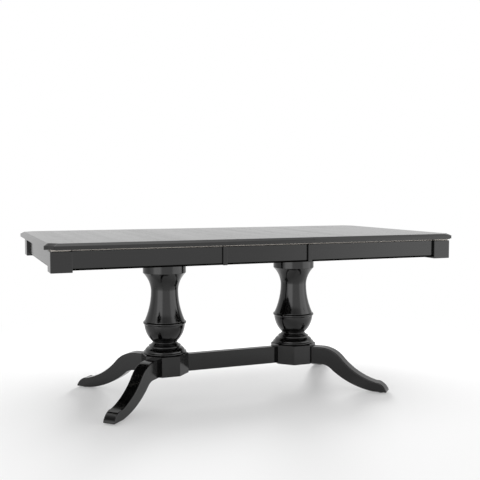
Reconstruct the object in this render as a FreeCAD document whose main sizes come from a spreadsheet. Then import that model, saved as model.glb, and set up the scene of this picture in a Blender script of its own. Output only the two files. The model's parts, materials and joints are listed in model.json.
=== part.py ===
import FreeCAD, Part
import math
import os
import Sketcher

# Double pedestal extension dining table with its leaf in place.
# Origin on the floor under the middle of the top, +X along the length, +Y to the back, +Z up.

SIZES = {
    # top: two halves and a leaf
    "table_length": 1828,
    "table_width": 965,
    "table_height": 749,
    "leaf_length": 383.5,
    "top_thickness": 23.5,
    "edge_band": 14.2,
    "edge_bevel": 17,
    "notch_depth": 34.5,
    "notch_step": 15.8,
    # aprons, corner blocks and the strips that cover the apron joints, all a gap below the slab
    "shadow_gap": 7,
    "corner_inset": 21,
    "corner_size": 82,
    "corner_drop": 88,
    "corner_ease": 1.5,
    "apron_recess": 12.5,
    "apron_height": 82,
    "apron_thickness": 20,
    "apron_ease": 8,
    "strip_width": 17.5,
    "strip_depth": 9.7,
    "cleat_size": 20,
    "cleat_margin": 11,
    "spacer_setback": 5,
    # pedestals
    "pedestal_offset": 326,
    "cap_radius": 98,
    "octagon_apothem": 100,
    "octagon_bottom": 112,
    "octagon_height": 93,
    "octagon_ease": 3,
    "recess_apothem": 52,
    "recess_ceiling": 22,
    "foot_thickness": 56,
    "foot_reach": 470,
    "foot_top": 194,
    "foot_ease": 4,
    "glide_radius": 12.5,
    "glide_height": 6,
    "glide_inset": 33,
    "stem_radius": 2.5,
    "stem_length": 20,
    "stretcher_thickness": 38,
    "stretcher_height": 79.5,
    "stretcher_ease": 3,
    # bolts, dowels, tie rods and nuts of the base
    "bolt_radius": 5,
    "bolt_grip": 60,
    "bolt_tip": 2,
    "dowel_radius": 5,
    "dowel_length": 60,
    "dowel_spread": 24,
    "nut_height": 10,
    "nut_corner_radius": 9.8,
    "flange_radius": 11,
    "flange_height": 2.5,
    "nut_pocket_radius": 14,
    "nut_pocket_depth": 12,
    "bore_gap": 0.1,
    # bearers and sliding rails
    "bearer_width": 120,
    "bearer_overhang": 52,
    "bearer_thickness": 21.5,
    "centre_bearer_width": 80,
    "rail_inset": 252.5,
    "rail_width": 36,
    "rail_height": 56,
    "rail_length": 1120,
    "rail_clearance": 8,
    "groove_height": 12,
    "groove_depth": 10,
    "slide_gap": 0.5,
    "runner_width": 30,
    "runner_height": 60,
    "runner_overlap": 100,
    # equaliser: pinion on a shoulder bolt between two racks
    "gear_module": 3,
    "gear_height": 14,
    "gear_backlash": 0.5,
    "hub_radius": 12,
    "pin_radius": 6,
    "pin_head_radius": 10,
    "pin_head_height": 4,
    "pin_hold": 14,
    "running_gap": 0.05,
    "end_gap": 0.3,
    "rack_drop": 37,
    "rack_back": 12,
    "rack_foot_start": 310,
    "rack_foot_length": 110,
    "rack_foot_width": 26,
    # wood screws, all alike
    "screw_radius": 2.25,
    "screw_length": 29,
    "screw_head_radius": 4.5,
    "screw_head_height": 3,
    "screw_grip": 16,
    "screw_end_margin": 60,
    # locating pins in the meeting edges
    "locator_radius": 4,
    "locator_hold": 25,
    "locator_reach": 15,
    "locator_gap": 0.4,
    # hook latches under the seams
    "latch_inset": 35,
    "latch_margin": 57,
    "latch_width": 24,
    "latch_thickness": 4,
    "latch_reach": 65,
    "latch_nose": 13,
    "latch_drop": 6,
    "latch_mouth_gap": 2,
    "pivot_head_radius": 8,
    "pivot_head_height": 3,
    "pivot_hold": 10,
    "peg_radius": 4,
    "peg_gap": 0.5,
    "keeper_length": 34,
    "keeper_thickness": 2,
    # how far a cutting tool runs past the face that it opens
    "overrun": 5,
}

PINION_TEETH = 16
RACK_TEETH = 31
RACK_TEETH_PAST_CENTRE = 8
SCREWS_PER_RUN = 3

# Column outline from the bottom up: radius as a share of the cap's, height as a share of the column's,
# and how far the stretch to the next point bulges, as a share of its chord (positive is outward).
COLUMN_SHARES = (
    (0.962, 0.000, 0.45),
    (0.962, 0.021, 0.0),
    (0.938, 0.021, 0.13),
    (0.779, 0.064, 0.0),
    (0.747, 0.068, 0.0),
    (0.747, 0.082, -0.08),
    (0.565, 0.115, 0.0),
    (0.565, 0.120, 0.096),
    (0.947, 0.299, 0.0),
    (0.947, 0.306, 0.45),
    (0.932, 0.338, 0.0),
    (0.926, 0.345, -0.052),
    (0.630, 0.660, -0.095),
    (1.000, 0.848, 0.0),
    (1.000, 1.000, 0.0),
)

# Foot outline: reach from the octagon's face and height above the glide, as shares of the foot's own.
FOOT_HEEL_SHARE = 0.135
FOOT_HEEL_BULGE_SHARE = -0.107
FOOT_SHARES = (
    (0.284, 0.441, 0.070),
    (0.816, 0.000, 0.0),
    (1.000, 0.000, 0.11),
    (0.911, 0.213, -0.088),
    (0.405, 0.755, 0.108),
    (0.130, 1.000, 0.0),
    (0.000, 1.000, 0.0),
)

# Places of the locating pins along each meeting edge, as shares of half the width.
LOCATOR_SHARES = {"left": (-0.70, 0.06, 0.70), "right": (-0.62, -0.06, 0.62)}
LATCH_END_BULGE_SHARE = 0.4

# Teeth: root depth, tip and root half widths as shares of the module, and the rack's flank slope.
ROOT_DEPTH_SHARE = 1.25
TIP_HALF_SHARE = 0.29
ROOT_HALF_SHARE = 0.80
FLANK_SHARE = math.tan(math.radians(20))

SIDES = (("left", -1), ("right", 1))
FACES = (("front", -1), ("back", 1))
OCTAGON_SHARE = math.tan(math.pi / 8)
DIAGONAL_SHARE = math.sqrt(0.5)
BEVEL_CORNER_SHARE = math.sqrt(2) - 1
UP = FreeCAD.Vector(0, 0, 1)
LENGTHWISE = FreeCAD.Vector(1, 0, 0)

doc = FreeCAD.newDocument("double_pedestal_table")
sheet = doc.addObject("Spreadsheet::Sheet", "Sizes")
for row, (alias, number) in enumerate(SIZES.items(), start=1):
    sheet.set("A%d" % row, alias)
    sheet.set("B%d" % row, str(number))
    sheet.setAlias("B%d" % row, alias)
doc.recompute()

nodes = []


class Length:
    """A size of the sheet, or a sum of such sizes, together with the expression that gives it."""

    def __init__(self, value, text):
        self.value = value
        self.text = text

    def __add__(self, other):
        return Length(self.value + other.value, "(%s + %s)" % (self.text, other.text))

    def __sub__(self, other):
        return Length(self.value - other.value, "(%s - %s)" % (self.text, other.text))

    def __neg__(self):
        return self * -1

    def __mul__(self, share):
        return Length(self.value * share, "(%s * %.9f)" % (self.text, share))

    def __truediv__(self, number):
        return Length(self.value / number, "(%s / %d)" % (self.text, number))


def size(alias):
    return Length(float(SIZES[alias]), "Sizes." + alias)


def chord(dx, dy):
    text = "sqrt((%s)^2 + (%s)^2)" % (dx.text, dy.text)
    return Length(math.hypot(dx.value, dy.value), text)


def span(sign, near, far):
    """The pair of planes at near and far from the middle, on one side of it, low one first."""
    if sign > 0:
        return (near, far)
    return (-far, -near)


def centred(middle, width):
    return (middle - width / 2, middle + width / 2)


def place(item, x, y, z):
    for axis, value in (("x", x), ("y", y), ("z", z)):
        item.setExpression("Placement.Base." + axis, value.text)


def keep(item, label):
    """Names a finished sub-part and puts it on the list that is written out."""
    item.Label = label
    nodes.append(item)
    return item


def board(name, x, y, z):
    box = doc.addObject("Part::Box", name)
    for prop, (low, high) in (("Length", x), ("Width", y), ("Height", z)):
        box.setExpression(prop, (high - low).text)
    place(box, x[0], y[0], z[0])
    return box


def rod(name, radius, length, start, direction=UP):
    """A cylinder that runs from a start point along a direction."""
    cylinder = doc.addObject("Part::Cylinder", name)
    cylinder.Placement = FreeCAD.Placement(FreeCAD.Vector(), FreeCAD.Rotation(UP, direction))
    cylinder.setExpression("Radius", radius.text)
    cylinder.setExpression("Height", length.text)
    place(cylinder, *start)
    return cylinder


def fused(name, pieces):
    fuse = doc.addObject("Part::MultiFuse", name)
    fuse.Shapes = pieces
    return fuse


def cut(name, base, tools):
    tool = tools[0]
    if len(tools) > 1:
        tool = fused(name + "_tools", tools)
    result = doc.addObject("Part::Cut", name)
    result.Base = base
    result.Tool = tool
    return result


def group(label, pieces):
    compound = doc.addObject("Part::Compound", label)
    compound.Links = pieces
    return keep(compound, label)


def new_sketch(body, name, plane, offset):
    sketch = body.newObject("Sketcher::SketchObject", name)
    support = [feature for feature in body.Origin.OriginFeatures if feature.Role == plane]
    sketch.AttachmentSupport = [(support[0], "")]
    sketch.MapMode = "FlatFace"
    if offset is not None:
        sketch.setExpression("AttachmentOffset.Base.z", offset.text)
    return sketch


def bind(sketch, kind, value, *points):
    index = sketch.addConstraint(Sketcher.Constraint(kind, *points, value.value))
    sketch.setExpression("Constraints[%d]" % index, value.text)


def radius_share(bulge):
    """The radius of an arc whose bulge is a share of its chord, as a share of that chord."""
    return (bulge * bulge + 1 / 4) / (2 * abs(bulge))


def stretch(start, end, bulge):
    """The line or arc between two points, and which of its ends is at the start point."""
    first = FreeCAD.Vector(start[0].value, start[1].value, 0)
    last = FreeCAD.Vector(end[0].value, end[1].value, 0)
    if bulge == 0:
        return Part.LineSegment(first, last), 1, 2
    reach = last - first
    radius = reach.Length * radius_share(bulge)
    left = FreeCAD.Vector(-reach.y, reach.x, 0).normalize()
    inset = radius - abs(bulge) * reach.Length
    centre = (first + last) / 2 + left * math.copysign(inset, bulge)
    if bulge < 0:
        first, last = last, first
    angles = [math.atan2(point.y - centre.y, point.x - centre.x) for point in (first, last)]
    if angles[1] < angles[0]:
        angles[1] += 2 * math.pi
    arc = Part.ArcOfCircle(Part.Circle(centre, UP, radius), angles[0], angles[1])
    if bulge < 0:
        return arc, 2, 1
    return arc, 1, 2


def outline(body, name, plane, points, offset=None):
    """A closed sketch through points (x, y, bulge), each point and arc bound to the sheet."""
    sketch = new_sketch(body, name, plane, offset)
    ends = []
    for start, end in zip(points, points[1:] + points[:1]):
        curve, first, last = stretch(start, end, start[2])
        ends.append((sketch.addGeometry(curve), first, last))
    for (curve, _, last), (following, start, _) in zip(ends, ends[1:] + ends[:1]):
        sketch.addConstraint(Sketcher.Constraint("Coincident", curve, last, following, start))
    for index, (curve, first, _) in enumerate(ends):
        here = points[index]
        there = points[(index + 1) % len(points)]
        bind(sketch, "DistanceX", here[0], -1, 1, curve, first)
        bind(sketch, "DistanceY", here[1], -1, 1, curve, first)
        bulge = here[2]
        if bulge != 0:
            reach = chord(there[0] - here[0], there[1] - here[1])
            bind(sketch, "Radius", reach * radius_share(bulge), curve)
    return sketch


def circle(body, name, plane, radius, offset):
    sketch = new_sketch(body, name, plane, offset)
    ring = sketch.addGeometry(Part.Circle(FreeCAD.Vector(), UP, radius.value))
    sketch.addConstraint(Sketcher.Constraint("Coincident", ring, 3, -1, 1))
    bind(sketch, "Radius", radius, ring)
    return sketch


def straight(points):
    return [(x, y, 0) for x, y in points]


def padded(body, name, sketch, length):
    pad = body.newObject("PartDesign::Pad", name)
    pad.Profile = sketch
    pad.setExpression("Length", length.text)
    return pad


def new_body(name):
    return doc.addObject("PartDesign::Body", name)


def prism(name, plane, points, start, length):
    """A body whose outline stands on a plane at a distance along the plane's normal."""
    body = new_body(name)
    sketch = outline(body, name + "_outline", plane, points, start)
    padded(body, name + "_pad", sketch, length)
    return body


def eased(body, name, kind, prop, value, edges):
    """A chamfer or fillet on the edges of the body's tip that a test picks."""
    doc.recompute()
    base = body.Tip
    picked = ["Edge%d" % (i + 1) for i, edge in enumerate(base.Shape.Edges) if edges(edge)]
    ease = body.newObject(kind, name)
    ease.Base = (base, picked)
    ease.setExpression(prop, value.text)
    body.Tip = ease
    return ease


half_length = size("table_length") / 2
half_width = size("table_width") / 2
seam = size("leaf_length") / 2
top_plane = size("table_height")
underside = top_plane - size("top_thickness")
overrun = size("overrun")
nothing = underside - underside

corner_face_x = half_length - size("corner_inset")
corner_face_y = half_width - size("corner_inset")
corner_back_x = corner_face_x - size("corner_size")
corner_back_y = corner_face_y - size("corner_size")
corner_bottom = underside - size("corner_drop")
shadow_line = underside - size("shadow_gap")
apron_face_x = corner_face_x - size("apron_recess")
apron_face_y = corner_face_y - size("apron_recess")
apron_back_x = apron_face_x - size("apron_thickness")
apron_back_y = apron_face_y - size("apron_thickness")
apron_bottom = underside - size("apron_height")

octagon_bottom = size("octagon_bottom")
octagon_top = octagon_bottom + size("octagon_height")
apothem = size("octagon_apothem")
rail_top = underside - size("rail_clearance")
rail_bottom = rail_top - size("rail_height")
bearer_bottom = rail_bottom - size("bearer_thickness")
rail_middle = half_width - size("rail_inset")
rail_outer = rail_middle + size("rail_width") / 2
rail_inner = rail_middle - size("rail_width") / 2
groove_bottom = rail_bottom + (size("rail_height") - size("groove_height")) / 2
groove_top = groove_bottom + size("groove_height")
runner_bottom = underside - size("runner_height")
runner_end = corner_back_x - size("cleat_margin")
screw_head_top = underside - size("screw_grip")
bolt_bore = size("bolt_radius") + size("bore_gap")


# Wood screws

screw_shank_gap = size("screw_radius") + size("bore_gap")
screw_head_gap = size("screw_head_radius") + size("bore_gap")


def screw(name, x, y, head_top):
    """An upright wood screw, head down, whose head ends at head_top."""
    head_bottom = head_top - size("screw_head_height")
    head = rod(name + "_head", size("screw_head_radius"), size("screw_head_height"), (x, y, head_bottom))
    shank = rod(name + "_shank", size("screw_radius"), size("screw_length"), (x, y, head_top))
    return fused(name, [head, shank])


def screw_hole(name, x, y, head_top, mouth):
    """The hole of such a screw, with a pocket for its head that opens at the mouth's height."""
    shank = rod(name + "_bore", screw_shank_gap, size("screw_length") + size("bore_gap"), (x, y, head_top))
    pocket_start = mouth - overrun
    pocket = rod(name + "_pocket", screw_head_gap, head_top - pocket_start, (x, y, pocket_start))
    return fused(name, [shank, pocket])


def spread(first, last, count):
    return [first + (last - first) * (step / (count - 1)) for step in range(count)]


# Top: slabs of the two halves and the leaf, with a bevel round the outer edges

def half_points(sign, inset):
    """The outline of one half of the top, drawn in by a share of the bevel."""
    depth = size("notch_depth")
    step = size("notch_step")
    corner = step + inset * BEVEL_CORNER_SHARE
    front = [
        (seam, half_width - inset),
        (half_length - depth - inset, half_width - inset),
        (half_length - depth - inset, half_width - corner),
        (half_length - corner, half_width - depth - inset),
        (half_length - inset, half_width - depth - inset),
    ]
    mirrored = [(x, -y) for x, y in reversed(front)]
    return straight([(x * sign, y) for x, y in front + mirrored])


def leaf_points(inset):
    edge = half_width - inset
    return straight([(-seam, -edge), (seam, -edge), (seam, edge), (-seam, edge)])


def slab(name, lower_points, upper_points):
    body = new_body(name)
    base = outline(body, name + "_base", "XY_Plane", lower_points, underside)
    padded(body, name + "_band", base, size("edge_band"))
    band_top = underside + size("edge_band")
    lower = outline(body, name + "_bevel_foot", "XY_Plane", lower_points, band_top)
    upper = outline(body, name + "_bevel_head", "XY_Plane", upper_points, top_plane)
    bevel = body.newObject("PartDesign::AdditiveLoft", name + "_bevel")
    bevel.Profile = lower
    bevel.Sections = [upper]
    bevel.Ruled = True
    return body


locator_height = underside + size("top_thickness") / 2
locator_bore = size("locator_radius") + size("bore_gap")
locator_slot = size("locator_radius") + size("locator_gap")


def locator_start(sign, depth):
    """Where a hole of some depth in a half's meeting edge begins, so that it ends past the edge."""
    if sign > 0:
        return seam - overrun
    return -seam - depth


def make_locators():
    """Pins that stand in each half's edge, holes for the other half's, open slots in the leaf."""
    holes = {"left": [], "right": []}
    slots = []
    for side, sign in SIDES:
        other = "right" if side == "left" else "left"
        pins = []
        for index, share in enumerate(LOCATOR_SHARES[side]):
            y = half_width * share
            name = "locator_%s_%d" % (side, index)
            total = size("locator_hold") + size("locator_reach")
            pin_start = seam - size("locator_reach") if sign > 0 else -seam - size("locator_hold")
            pins.append(rod(name, size("locator_radius"), total, (pin_start, y, locator_height), LENGTHWISE))
            hold = size("locator_hold") + size("bore_gap")
            start = (locator_start(sign, hold), y, locator_height)
            holes[side].append(rod(name + "_bore", locator_bore, hold + overrun, start, LENGTHWISE))
            reach = size("locator_reach") + size("locator_gap")
            start = (locator_start(-sign, reach), y, locator_height)
            holes[other].append(rod(name + "_socket", locator_slot, reach + overrun, start, LENGTHWISE))
            slot_x = span(sign, seam - reach, seam + overrun)
            slot_top = locator_height + locator_slot
            slots.append(board(name + "_slot", slot_x, centred(y, locator_slot * 2),
                               (underside - overrun, slot_top)))
        group("locator_pins_" + side, pins)
    return holes, slots


# Aprons, corner blocks, joint strips and cleats

def apron_section(sign, face, back):
    """The section of an apron: depth from front to back, height, with an eased lower front edge."""
    ease = size("apron_ease")
    return straight([
        (back * sign, apron_bottom),
        (back * sign, shadow_line),
        (face * sign, shadow_line),
        (face * sign, apron_bottom + ease),
        ((face - ease) * sign, apron_bottom),
    ])


def long_apron(label, face_sign, x):
    body = prism(label, "YZ_Plane", apron_section(face_sign, apron_face_y, apron_back_y), x[0], x[1] - x[0])
    return keep(body, label)


def make_aprons():
    for face, face_sign in FACES:
        for side, sign in SIDES:
            long_apron("apron_%s_%s" % (face, side), face_sign, span(sign, seam, corner_back_x))
            corner(face, side, face_sign, sign)
        long_apron("apron_%s_leaf" % face, face_sign, (-seam, seam))
    for side, sign in SIDES:
        section = apron_section(sign, apron_face_x, apron_back_x)
        label = "apron_end_" + side
        keep(prism(label, "XZ_Plane", section, -corner_back_y, corner_back_y * 2), label)


def corner(face, side, face_sign, sign):
    label = "corner_block_%s_%s" % (face, side)
    low_x, high_x = span(sign, corner_back_x, corner_face_x)
    low_y, high_y = span(face_sign, corner_back_y, corner_face_y)
    square = straight([(low_x, low_y), (high_x, low_y), (high_x, high_y), (low_x, high_y)])
    body = prism(label, "XY_Plane", square, corner_bottom, shadow_line - corner_bottom)
    eased(body, label + "_ease", "PartDesign::Chamfer", "Size", size("corner_ease"), lambda edge: True)
    keep(body, label)


def make_joint_strips():
    """Each length of apron but the right one carries a cover strip at its right end."""
    for label, right_end in (("joint_strips_left", -seam), ("joint_strips_leaf", seam)):
        strips = []
        for face, face_sign in FACES:
            x = (right_end - size("strip_width"), right_end)
            y = span(face_sign, apron_face_y, apron_face_y + size("strip_depth"))
            strips.append(board(label + "_" + face, x, y, (apron_bottom, shadow_line)))
        group(label, strips)


cleat_inner_y = apron_back_y - size("cleat_size")
cleat_inner_x = apron_back_x - size("cleat_size")
cleat_bottom = underside - size("cleat_size")
cleat_start = seam + size("cleat_margin")
end_cleat_reach = corner_back_y - size("cleat_margin")


def cleat_boards(name, sign):
    boards = []
    for face, face_sign in FACES:
        x = span(sign, cleat_start, runner_end)
        y = span(face_sign, cleat_inner_y, apron_back_y)
        boards.append(board("%s_%s" % (name, face), x, y, (cleat_bottom, underside)))
    x = span(sign, cleat_inner_x, apron_back_x)
    boards.append(board(name + "_end", x, (-end_cleat_reach, end_cleat_reach), (cleat_bottom, underside)))
    return boards


# Spacers fill the gap under the slab and stand back from both faces of the aprons and blocks
spacer_height = (shadow_line, underside)


def set_back(sign, back, face):
    return span(sign, back + size("spacer_setback"), face - size("spacer_setback"))


def spacer_boards(name, sign):
    boards = []
    for face, face_sign in FACES:
        y = set_back(face_sign, apron_back_y, apron_face_y)
        boards.append(board("%s_%s" % (name, face), span(sign, seam, corner_back_x), y, spacer_height))
        x = set_back(sign, corner_back_x, corner_face_x)
        y = set_back(face_sign, corner_back_y, corner_face_y)
        boards.append(board("%s_corner_%s" % (name, face), x, y, spacer_height))
    x = set_back(sign, apron_back_x, apron_face_x)
    boards.append(board(name + "_end", x, (-corner_back_y, corner_back_y), spacer_height))
    return boards


def make_leaf_battens():
    reach = seam - size("cleat_margin")
    battens = []
    for face, face_sign in FACES:
        y = span(face_sign, cleat_inner_y, apron_back_y)
        battens.append(board("leaf_cleat_" + face, (-reach, reach), y, (cleat_bottom, underside)))
        y = set_back(face_sign, apron_back_y, apron_face_y)
        battens.append(board("leaf_spacer_" + face, (-seam, seam), y, spacer_height))
    inner_runner_face = rail_inner - size("slide_gap") - size("runner_width")
    cross_reach = inner_runner_face - size("cleat_margin")
    clear_of_pins = reach - size("locator_reach")
    for side, sign in SIDES:
        x = span(sign, clear_of_pins - size("cleat_size") * 2, clear_of_pins)
        y = (-cross_reach, cross_reach)
        battens.append(board("leaf_batten_" + side, x, y, (cleat_bottom, underside)))
    group("leaf_battens", battens)


# Sliding runners under the halves: the left half's run outside the rails, the right half's inside

def runner_section(sign, face_sign):
    if sign < 0:
        near = rail_outer + size("slide_gap")
        far = near + size("runner_width")
        tip = rail_outer - size("groove_depth") + size("slide_gap")
    else:
        near = rail_inner - size("slide_gap")
        far = near - size("runner_width")
        tip = rail_inner + size("groove_depth") - size("slide_gap")
    tongue_top = groove_top - size("slide_gap")
    section = [
        (far, runner_bottom),
        (near, runner_bottom),
        (near, groove_bottom),
        (tip, groove_bottom),
        (tip, tongue_top),
        (near, tongue_top),
        (near, underside),
        (far, underside),
    ]
    middle = (near + far) / 2
    return straight([(y * face_sign, z) for y, z in section]), middle * face_sign


# Equaliser: the racks of the two halves on either side of one pinion

gear_pitch_radius = size("gear_module") * (PINION_TEETH / 2)
gear_pitch = size("gear_module") * math.pi
gear_tip = gear_pitch_radius + size("gear_module")
gear_root_depth = size("gear_module") * ROOT_DEPTH_SHARE
gear_root = gear_pitch_radius - gear_root_depth
gear_bottom = underside - size("rack_drop")
gear_top = gear_bottom + size("gear_height")
tooth_half = (gear_pitch / 2 - size("gear_backlash")) / 2


def make_pinion():
    body = new_body("pinion_blank")
    core = circle(body, "pinion_core", "XY_Plane", gear_root, gear_bottom)
    padded(body, "pinion_disc", core, size("gear_height"))
    inner = gear_root - size("gear_module")
    tip_half = size("gear_module") * TIP_HALF_SHARE
    root_half = size("gear_module") * ROOT_HALF_SHARE
    tooth = outline(body, "pinion_tooth", "XY_Plane", straight([
        (root_half, inner),
        (root_half, gear_root),
        (tooth_half, gear_pitch_radius),
        (tip_half, gear_tip),
        (-tip_half, gear_tip),
        (-tooth_half, gear_pitch_radius),
        (-root_half, gear_root),
        (-root_half, inner),
    ]), gear_bottom)
    tooth_pad = padded(body, "pinion_tooth_pad", tooth, size("gear_height"))
    ring = body.newObject("PartDesign::PolarPattern", "pinion_teeth")
    ring.Originals = [tooth_pad]
    axis = [feature for feature in body.Origin.OriginFeatures if feature.Role == "Z_Axis"]
    ring.Axis = (axis[0], [""])
    ring.Angle = 360
    ring.Occurrences = PINION_TEETH
    body.Tip = ring
    hub_bottom = rail_bottom + size("end_gap")
    hub = rod("pinion_hub", size("hub_radius"), gear_top - hub_bottom, (nothing, nothing, hub_bottom))
    bore_start = hub_bottom - overrun
    bore = rod("pinion_bore", size("pin_radius") + size("running_gap"), gear_top + overrun - bore_start,
               (nothing, nothing, bore_start))
    keep(cut("pinion_cut", fused("pinion_solid", [body, hub]), [bore]), "pinion")

    head_bottom = gear_top + size("end_gap")
    shank_bottom = rail_bottom - size("pin_hold")
    shank = rod("pinion_pin_shank", size("pin_radius"), head_bottom - shank_bottom,
                (nothing, nothing, shank_bottom))
    head = rod("pinion_pin_head", size("pin_head_radius"), size("pin_head_height"),
               (nothing, nothing, head_bottom))
    keep(fused("pinion_pin_solid", [shank, head]), "pinion_pin")


def rack_body(side, sign):
    """The rack of one half: the left one runs behind the pinion, the right one before it."""
    turn = -sign
    root = gear_pitch_radius + gear_root_depth
    back = root + size("rack_back")
    tip = gear_pitch_radius - size("gear_module")
    flank_root = tooth_half + gear_root_depth * FLANK_SHARE
    flank_tip = tooth_half - (gear_pitch_radius - tip) * FLANK_SHARE
    name = "rack_" + side
    toothed_end = gear_pitch * RACK_TEETH_PAST_CENTRE
    far_end = size("rack_foot_start") + size("rack_foot_length")
    body = new_body(name + "_blank")
    bar = straight([(x * sign, y * turn) for x, y in (
        (-toothed_end, root), (far_end, root), (far_end, back), (-toothed_end, back))])
    padded(body, name + "_bar", outline(body, name + "_bar_outline", "XY_Plane", bar, gear_bottom),
           size("gear_height"))
    first = gear_pitch * (0.5 - RACK_TEETH_PAST_CENTRE)
    tooth_points = straight([(x * sign, y * turn) for x, y in (
        (first - flank_root, root + size("gear_module")),
        (first - flank_root, root),
        (first - flank_tip, tip),
        (first + flank_tip, tip),
        (first + flank_root, root),
        (first + flank_root, root + size("gear_module")))])
    tooth = outline(body, name + "_tooth", "XY_Plane", tooth_points, gear_bottom)
    tooth_pad = padded(body, name + "_tooth_pad", tooth, size("gear_height"))
    row_of_teeth = body.newObject("PartDesign::LinearPattern", name + "_teeth")
    row_of_teeth.Originals = [tooth_pad]
    axis = [feature for feature in body.Origin.OriginFeatures if feature.Role == "X_Axis"]
    row_of_teeth.Direction = (axis[0], [""])
    row_of_teeth.Reversed = sign < 0
    row_of_teeth.Occurrences = RACK_TEETH
    row_of_teeth.setExpression("Length", (gear_pitch * (RACK_TEETH - 1)).text)
    body.Tip = row_of_teeth
    foot_x = span(sign, size("rack_foot_start"), far_end)
    foot_y = span(turn, root, root + size("rack_foot_width"))
    foot = board(name + "_foot", foot_x, foot_y, (gear_bottom, underside))
    middle = (root + size("rack_foot_width") / 2) * turn
    return fused(name + "_solid", [body, foot]), middle


# Hook latches: they lie open, along the seam, and swing across it to hook a peg under the leaf

pivot_x = seam + size("latch_inset")
latch_top = underside - size("latch_drop")
latch_bottom = latch_top - size("latch_thickness")
pivot_bore = size("peg_radius") + size("running_gap")


def make_latch(face, side, face_sign, sign):
    """One lever, drawn along the seam from its pivot, with its mouth open towards the leaf."""
    half = size("latch_width") / 2
    reach = size("latch_reach")
    mouth_near = reach - size("peg_radius") - size("latch_mouth_gap")
    mouth_far = reach + size("peg_radius") + size("peg_gap")
    mouth_floor = -size("peg_radius") - size("peg_gap")
    tip = reach + size("latch_nose")
    lever = [
        (nothing, half, 0),
        (mouth_near, half, 0),
        (mouth_near, mouth_floor, 0),
        (mouth_far, mouth_floor, 0),
        (mouth_far, half, 0),
        (tip, half, 0),
        (tip, -half, 0),
        (nothing, -half, LATCH_END_BULGE_SHARE * sign * face_sign),
    ]
    name = "latch_%s_%s" % (face, side)
    x = pivot_x * sign
    y = (apron_back_y - size("latch_margin")) * face_sign
    points = [(x - across * sign, y - down * face_sign, bulge) for down, across, bulge in lever]
    blank = prism(name + "_blank", "XY_Plane", points, latch_bottom, size("latch_thickness"))
    bore_start = (x, y, latch_bottom - overrun)
    bore = rod(name + "_bore", pivot_bore, size("latch_thickness") + overrun * 2, bore_start)
    keep(cut(name + "_cut", blank, [bore]), name)

    collar_bottom = latch_top + size("running_gap")
    head_top = latch_bottom - size("running_gap")
    head_bottom = head_top - size("pivot_head_height")
    shank = rod(name + "_pivot_shank", size("peg_radius"), underside + size("pivot_hold") - head_bottom,
                (x, y, head_bottom))
    collar = rod(name + "_pivot_collar", size("pivot_head_radius"), underside - collar_bottom,
                 (x, y, collar_bottom))
    head = rod(name + "_pivot_head", size("pivot_head_radius"), size("pivot_head_height"),
               (x, y, head_bottom))
    pivot = fused(name + "_pivot", [shank, collar, head])
    hole = rod(name + "_pivot_hole", size("peg_radius") + size("bore_gap"),
               size("pivot_hold") + size("bore_gap") + overrun, (x, y, underside - overrun))

    peg_x = x - reach * sign
    plate_bottom = underside - size("keeper_thickness")
    plate = board(name + "_keeper_plate", centred(peg_x, size("keeper_length")),
                  centred(y, size("latch_width")), (plate_bottom, underside))
    peg_bottom = latch_bottom - size("keeper_thickness")
    peg = rod(name + "_keeper_peg", size("peg_radius"), underside - peg_bottom, (peg_x, y, peg_bottom))
    return pivot, hole, fused(name + "_keeper", [plate, peg])


def make_latches():
    holes = {"left": [], "right": []}
    keepers = []
    for side, sign in SIDES:
        pivots = []
        for face, face_sign in FACES:
            pivot, hole, keeper = make_latch(face, side, face_sign, sign)
            pivots.append(pivot)
            holes[side].append(hole)
            keepers.append(keeper)
        group("latch_pivots_" + side, pivots)
    group("latch_keepers", keepers)
    return holes


# Halves: slab, runners, cleats and rack of a side, drilled for one set of screws

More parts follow.
